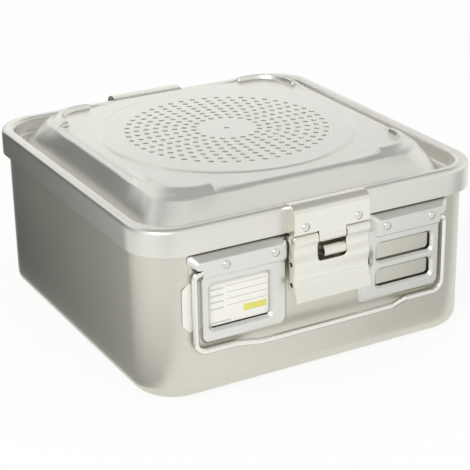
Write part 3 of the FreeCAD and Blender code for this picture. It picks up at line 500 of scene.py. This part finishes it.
holes = dict(radius=2.1, bevel=0.3, softening=0.1, first=25.9, step=7.41, rings=8, count=20, more=4,
             sides=20, nearRim=0.01, sharpAngle=12)


# Centres of the holes: rings of evenly spaced holes about one in the middle
def holeCentres(h):
    centres = [(0.0, 0.0)]
    for ring in range(h["rings"]):
        radius, count = h["first"] + h["step"] * ring, h["count"] + h["more"] * ring
        a = 2 * math.pi * np.arange(count) / count
        centres += list(zip(radius * np.cos(a), radius * np.sin(a)))
    return np.array(centres)


# Plate with holes: flat triangles between the outer circle and the hole rims, without those whose three
# corners lie on one rim, and walls with a small bevel
def perforatedPlate(h, l):
    centres = holeCentres(h)
    k = h["sides"]
    a = 2 * math.pi * np.arange(k) / k
    ring = np.stack([np.cos(a), np.sin(a)], -1)
    rims = centres[:, None] + ring[None] * (h["radius"] + h["bevel"])
    angle = np.arctan2(outerGrid[-1, :, 1], outerGrid[-1, :, 0])
    edge = np.stack([np.cos(angle), np.sin(angle)], -1) * l["holed"]
    flat = np.concatenate([edge, rims.reshape(-1, 2)])
    n = len(edge)
    loops = [np.arange(n)] + [n + i * k + np.arange(k) for i in range(len(centres))]
    edges = [tuple(map(int, e)) for loop in loops for e in np.stack([loop, np.roll(loop, -1)], 1)]
    result = geometry.delaunay_2d_cdt([Vector(p) for p in flat], edges, [], 0, 1e-5)
    plane = np.array([tuple(v) for v in result[0]])
    triangles = np.array([tuple(f) for f in result[2]])
    apart = np.hypot(*(plane[:, None] - centres[None]).transpose(2, 0, 1))
    onRim = np.abs(apart.min(1) - h["radius"] - h["bevel"]) < h["nearRim"]
    owner = np.where(onRim, apart.argmin(1), -1 - np.arange(len(plane)))[triangles]
    triangles = triangles[(owner[:, 0] != owner[:, 1]) | (owner[:, 1] != owner[:, 2])]
    top, bottom = l["panel"] + l["rise"], l["panel"] + l["rise"] - l["sheet"]
    bevel = h["bevel"]
    depth = [(bevel, 0.0), (bevel * 0.3, -h["softening"]), (0.0, -bevel), (0.0, -l["sheet"] + bevel),
             (bevel, -l["sheet"])]
    walls, wallFaces = [], []
    for i, centre in enumerate(centres):
        rings = [np.concatenate([centre + ring * (h["radius"] + grow), np.full((k, 1), top + z)], 1)
                 for grow, z in depth]
        walls.append(np.concatenate(rings))
        wallFaces.append(gridFaces(len(depth), k, i * len(depth) * k))
    upper = np.concatenate([plane, np.full((len(plane), 1), top)], 1)
    lower = np.concatenate([plane, np.full((len(plane), 1), bottom)], 1)
    return joined([(upper, [triangles]), (lower, [triangles[:, ::-1]]),
                   (np.concatenate(walls), [np.concatenate(wallFaces)])])


points, faces = perforatedPlate(holes, lid)
holedPlate = addPiece("lidHoles", points, faces, finish["lid"], "lid", (),
                      holes["sharpAngle"], False)
print("holes made", len(holedPlate.data.polygons))

bail = dict(wire=2.3, depth=3.2, pivot=97.6, half=105.5, bottom=37.7, end=97.3, offset=5.8, grip=56.0,
            joggle=72.0, bends=(4.0, 9.0, 12.0, 12.0), step=0.7, sides=24)


# Path of a bail at the front: from one pivot down, along the set-off grip and up to the other pivot
def bailPath(b):
    y = frontWall - b["depth"]
    half = [(b["end"], y, b["pivot"]), (b["half"], y, b["pivot"]), (b["half"], y, b["bottom"]),
            (b["joggle"], y, b["bottom"]), (b["grip"], y - b["offset"], b["bottom"])]
    other = [(-x, v, z) for x, v, z in reversed(half)]
    return bentPath(half + other, b["bends"] + b["bends"][::-1], b["step"])


for side in ("front", "rear"):
    points, faces = tubeAlong(bailPath(bail), bail["wire"], bail["sides"])
    if side == "rear":
        points = toRear(points)
    addPiece(side + "Bail", points, faces, finish["wire"], side + "_bail", [side + "_handle"])
print("handles made")

# The other frame nodes keep their solids and take a finish
nodeFinish = {
    "front_catch": "latch", "rear_catch": "latch", "catch_rivets": "rivet", "label_bracket": "bracket",
    "slotted_bracket": "bracket", "rear_left_bracket": "bracket", "rear_right_bracket": "bracket",
    "front_bracket_rivets": "rivet", "rear_bracket_rivets": "rivet", "lid_gasket": "gasket",
    "front_clip": "latch", "rear_clip": "latch", "clip_rivets": "rivet", "front_hinge_pin": "pin",
    "rear_hinge_pin": "pin", "front_lever": "latch", "rear_lever": "latch", "filter_disc": "filter",
    "filter_retainer": "retainer", "retainer_stud": "pin", "retainer_knob": "knob",
}
for name, key in nodeFinish.items():
    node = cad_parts[name]
    node.data.materials.clear()
    node.data.materials.append(finish[key])

card = dict(white=(0.86, 0.85, 0.79), rule=(0.42, 0.41, 0.38), block=(0.74, 0.70, 0.16), roughness=0.5,
            ruleX=(-79.0, -46.5), rules=(82.8, 77.8, 72.8, 67.8), thin=0.2, mark=(0.60, 0.59, 0.56),
            marks=(82.0, 77.0, 72.0, 67.0), thick=0.7, markX=(-92.0, -81.5),
            foot=((-92.5, -76.0), (55.8, 57.0)), blockX=(-65.5, -46.8), blockZ=(60.2, 65.4))


# Card finish: white, with the tone of each rule, mark and block laid over it by its rectangle's mask
def cardFinish(c):
    material, tree, shader = newMaterial("cardFinish")
    shader.inputs["Roughness"].default_value = c["roughness"]
    areas = [(c["ruleX"], (z - c["thin"], z + c["thin"]), c["rule"]) for z in c["rules"]]
    areas += [(c["markX"], (z - c["thick"], z + c["thick"]), c["mark"]) for z in c["marks"]]
    areas += [(*c["foot"], c["mark"]), (c["blockX"], c["blockZ"], c["block"])]
    tone = None
    for rangeX, rangeZ, ink in areas:
        layer = addNode(tree, "ShaderNodeMix", data_type="RGBA")
        layer.inputs["B"].default_value = (*ink, 1)
        tree.links.new(rectangle(tree, rangeX, rangeZ), layer.inputs["Factor"])
        if tone:
            tree.links.new(tone, layer.inputs["A"])
        else:
            layer.inputs["A"].default_value = (*c["white"], 1)
        tone = layer.outputs["Result"]
    tree.links.new(tone, shader.inputs["Base Color"])
    return material


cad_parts["label_card"].data.materials.clear()
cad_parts["label_card"].data.materials.append(cardFinish(card))
print("card made")

studio = dict(floor=6.0, floorZ=-0.0004, floorTone=(0.95, 0.95, 0.94), floorRoughness=0.9,
              floorSheen=0.1, floorGlow=0.86, sky=0.85)


# Plane of four corners that belongs to the studio and not to the part
def stagePlane(name, corners):
    mesh = bpy.data.meshes.new(name)
    mesh.from_pydata(corners, [], [(0, 1, 2, 3)])
    plane = bpy.data.objects.new(name, mesh)
    bpy.context.scene.collection.objects.link(plane)
    return plane


# One for rays that see the background itself, else nought: from the camera, off metal or through glass
def seenRay(tree):
    path = addNode(tree, "ShaderNodeLightPath").outputs
    total = path["Is Camera Ray"]
    for ray in ("Is Glossy Ray", "Is Transmission Ray"):
        total = addNode(tree, "ShaderNodeMath", {0: total, 1: path[ray]}, operation="MAXIMUM").outputs[0]
    return total


# Floor: pale and matt, partly white by itself where it is seen, so that the shadow stays but is faint;
# clear from below, so that the underside can be seen
def makeFloor(s):
    e, z = s["floor"], s["floorZ"]
    floor = stagePlane("floor", [(-e, -e, z), (e, -e, z), (e, e, z), (-e, e, z)])
    material, tree, shader = newMaterial("floorFinish")
    shader.inputs["Base Color"].default_value = (*s["floorTone"], 1)
    shader.inputs["Roughness"].default_value = s["floorRoughness"]
    shader.inputs["Specular IOR Level"].default_value = s["floorSheen"]
    glow = addNode(tree, "ShaderNodeEmission", {"Color": (1, 1, 1, 1)})
    share = addNode(tree, "ShaderNodeMath", {0: seenRay(tree), 1: s["floorGlow"]}, operation="MULTIPLY")
    upper = addNode(tree, "ShaderNodeMixShader", {"Fac": share.outputs[0], 1: shader.outputs[0],
                                                  2: glow.outputs[0]})
    below = addNode(tree, "ShaderNodeNewGeometry").outputs["Backfacing"]
    clear = addNode(tree, "ShaderNodeBsdfTransparent")
    oneSided = addNode(tree, "ShaderNodeMixShader", {"Fac": below, 1: upper.outputs[0],
                                                     2: clear.outputs[0]})
    tree.links.new(oneSided.outputs[0], tree.nodes["Material Output"].inputs["Surface"])
    floor.data.materials.append(material)


# World: white where it is seen, softer as a light
def makeSky(s):
    world = bpy.data.worlds.new("studio")
    bpy.context.scene.world = world
    world.use_nodes = True
    tree = world.node_tree
    background = tree.nodes["Background"]
    background.inputs["Color"].default_value = (1, 1, 1, 1)
    strength = addNode(tree, "ShaderNodeMapRange",
                       {"Value": seenRay(tree), "To Min": s["sky"], "To Max": 1.0})
    tree.links.new(strength.outputs["Result"], background.inputs["Strength"])


# Board of the studio that only metal sees: a ramp of stops (place along the axis, tone) glows by itself
def makeBoard(name, corners, stops, axis=(0, 1, 0)):
    board = stagePlane(name, corners)
    for ray in ("camera", "diffuse", "shadow", "transmission"):
        setattr(board, "visible_" + ray, False)
    material, tree, shader = newMaterial(name + "Finish")
    tree.nodes.remove(shader)
    first, last = stops[0][0], stops[-1][0]
    level = max(tone for _, tone in stops)
    place = addNode(tree, "ShaderNodeTexCoord").outputs["Object"]
    along = addNode(tree, "ShaderNodeVectorMath", {0: place, 1: axis}, operation="DOT_PRODUCT")
    span = addNode(tree, "ShaderNodeMapRange",
                   {"Value": along.outputs["Value"], "From Min": first, "From Max": last})
    blend = addNode(tree, "ShaderNodeValToRGB", {"Fac": span.outputs["Result"]})
    entries = blend.color_ramp.elements
    while len(entries) < len(stops):
        entries.new(1.0)
    for entry, (where, tone) in zip(entries, stops):
        entry.position = (where - first) / (last - first)
        entry.color = (tone / level,) * 3 + (1,)
    glow = addNode(tree, "ShaderNodeEmission", {"Color": blend.outputs["Color"], "Strength": level})
    tree.links.new(glow.outputs[0], tree.nodes["Material Output"].inputs["Surface"])
    board.data.materials.append(material)


# Corners of a level board, just above the floor if no height is given
def levelCorners(x0, x1, y0, y1, z=0.003):
    return [(x0, y0, z), (x1, y0, z), (x1, y1, z), (x0, y1, z)]


# Board that stands or leans between two lines, each from x0 to x1
def leaningCorners(x0, x1, low, high):
    return [(x0, *low), (x1, *low), (x1, *high), (x0, *high)]


# Distances in metres; the tones follow what the photograph's walls, slopes and panel mirror
boards = dict(
    leftFloor=dict(corners=levelCorners(-1.4, -0.142, -0.6, 1.6), axis=(1.822, 1, 0),
                   stops=((-0.95, 1.0), (-0.66, 0.95), (-0.56, 0.85), (-0.47, 0.68), (-0.41, 0.5),
                          (-0.36, 0.36), (-0.33, 0.27), (-0.25, 0.20), (-0.15, 0.11), (0.2, 0.08))),
    leftWall=dict(corners=[(-0.55, -0.1, 0), (-0.55, 1.6, 0), (-0.55, 1.6, 0.5), (-0.55, -0.1, 0.5)],
                  stops=((-0.1, 0.6), (0.3, 0.4), (0.5, 0.22), (0.566, 0.16), (0.656, 0.1), (0.746, 0.06),
                         (1.0, 0.04))),
    rearWall=dict(corners=leaningCorners(-0.14, 1.3, (0.6, 0), (0.6, 0.62)), axis=(0, 0, 1),
                  stops=((0.12, 0.3), (0.22, 1.0), (0.3, 1.25), (0.38, 1.25), (0.43, 1.0), (0.49, 0.75),
                         (0.54, 0.6), (0.62, 0.5))),
    rearCeiling=dict(corners=leaningCorners(-0.2, 1.4, (0.6, 0.62), (0.45, 1.3)), axis=(0, 0, 1),
                     stops=((0.66, 0.5), (0.72, 1.5), (0.84, 1.5), (0.92, 0.5), (1.3, 0.45))),
    overhead=dict(corners=levelCorners(-1.2, 1.4, -0.85, 0.45, 1.3),
                  stops=((-0.85, 0.88), (-0.55, 0.48), (0.45, 0.45))),
    rightFloor=dict(corners=levelCorners(-0.15, 1.4, -0.75, -0.15), axis=(1, 1.2, 0),
                    stops=((-0.26, 1.0), (-0.2, 0.93), (-0.145, 0.77), (-0.115, 0.68), (-0.06, 0.60),
                           (0.3, 0.55))),
    cameraFloor=dict(corners=levelCorners(-0.6, -0.24, -1.2, -0.28),
                     stops=((-0.6, 0.6), (-0.42, 0.8), (-0.28, 1.0))),
    frontLine=dict(corners=leaningCorners(-1.9, 2.4, (-1.9, 0), (-1.9, 0.06)),
                   stops=((0, 0.02), (1, 0.02))),
    frontSky=dict(corners=leaningCorners(-0.2, 1.9, (-1.5, 0.6), (-1.1, 1.5)),
                  stops=((0, 0.88), (1, 0.88))),
)
key = dict(place=(-1.5, -1.3, 1.5), aim=(0, 0, 0.07), size=0.5, power=16)


# Square lamp at a place, its face turned to the aim
def makeLamp(name, place, aim, size, power):
    data = bpy.data.lights.new(name, "AREA")
    data.size = size
    data.energy = power
    lamp = bpy.data.objects.new(name, data)
    bpy.context.scene.collection.objects.link(lamp)
    lamp.location = place
    lamp.rotation_euler = (Vector(place) - Vector(aim)).to_track_quat("Z", "Y").to_euler()


makeFloor(studio)
makeSky(studio)
for name, board in boards.items():
    makeBoard(name, **board)
makeLamp("key", **key)
print("studio made")

view = dict(azimuth=-28.81, elevation=22.76, roll=-0.91, distance=1.21274, panX=0.00519, panZ=-0.01535,
            aimZ=0.07, focal=1516.34, pixels=470, sensor=36)


# Camera at the photograph's angle: back vector from azimuth and elevation, then the roll about it;
# the focal length is given in pixels of the photograph
def placeCamera(v):
    az, el, roll = (math.radians(v[k]) for k in ("azimuth", "elevation", "roll"))
    back = Vector((math.sin(az) * math.cos(el), -math.cos(az) * math.cos(el), math.sin(el)))
    right = Vector((math.cos(az), math.sin(az), 0))
    up = back.cross(right)
    cos, sin = math.cos(roll), math.sin(roll)
    right, up = right * cos + up * sin, -right * sin + up * cos
    flatRight = Vector((math.cos(az), math.sin(az), 0))
    centre = Vector((0, 0, v["aimZ"])) + flatRight * v["panX"] + back.cross(flatRight) * v["panZ"]
    data = bpy.data.cameras.new("camera")
    data.sensor_fit = "HORIZONTAL"
    data.sensor_width = v["sensor"]
    data.lens = v["focal"] / v["pixels"] * v["sensor"]
    camera = bpy.data.objects.new("camera", data)
    bpy.context.scene.collection.objects.link(camera)
    turn = Matrix((right, up, back)).transposed().to_4x4()
    camera.matrix_world = Matrix.Translation(centre + back * v["distance"]) @ turn
    bpy.context.scene.camera = camera


placeCamera(view)
bpy.context.scene.view_settings.view_transform = "Standard"
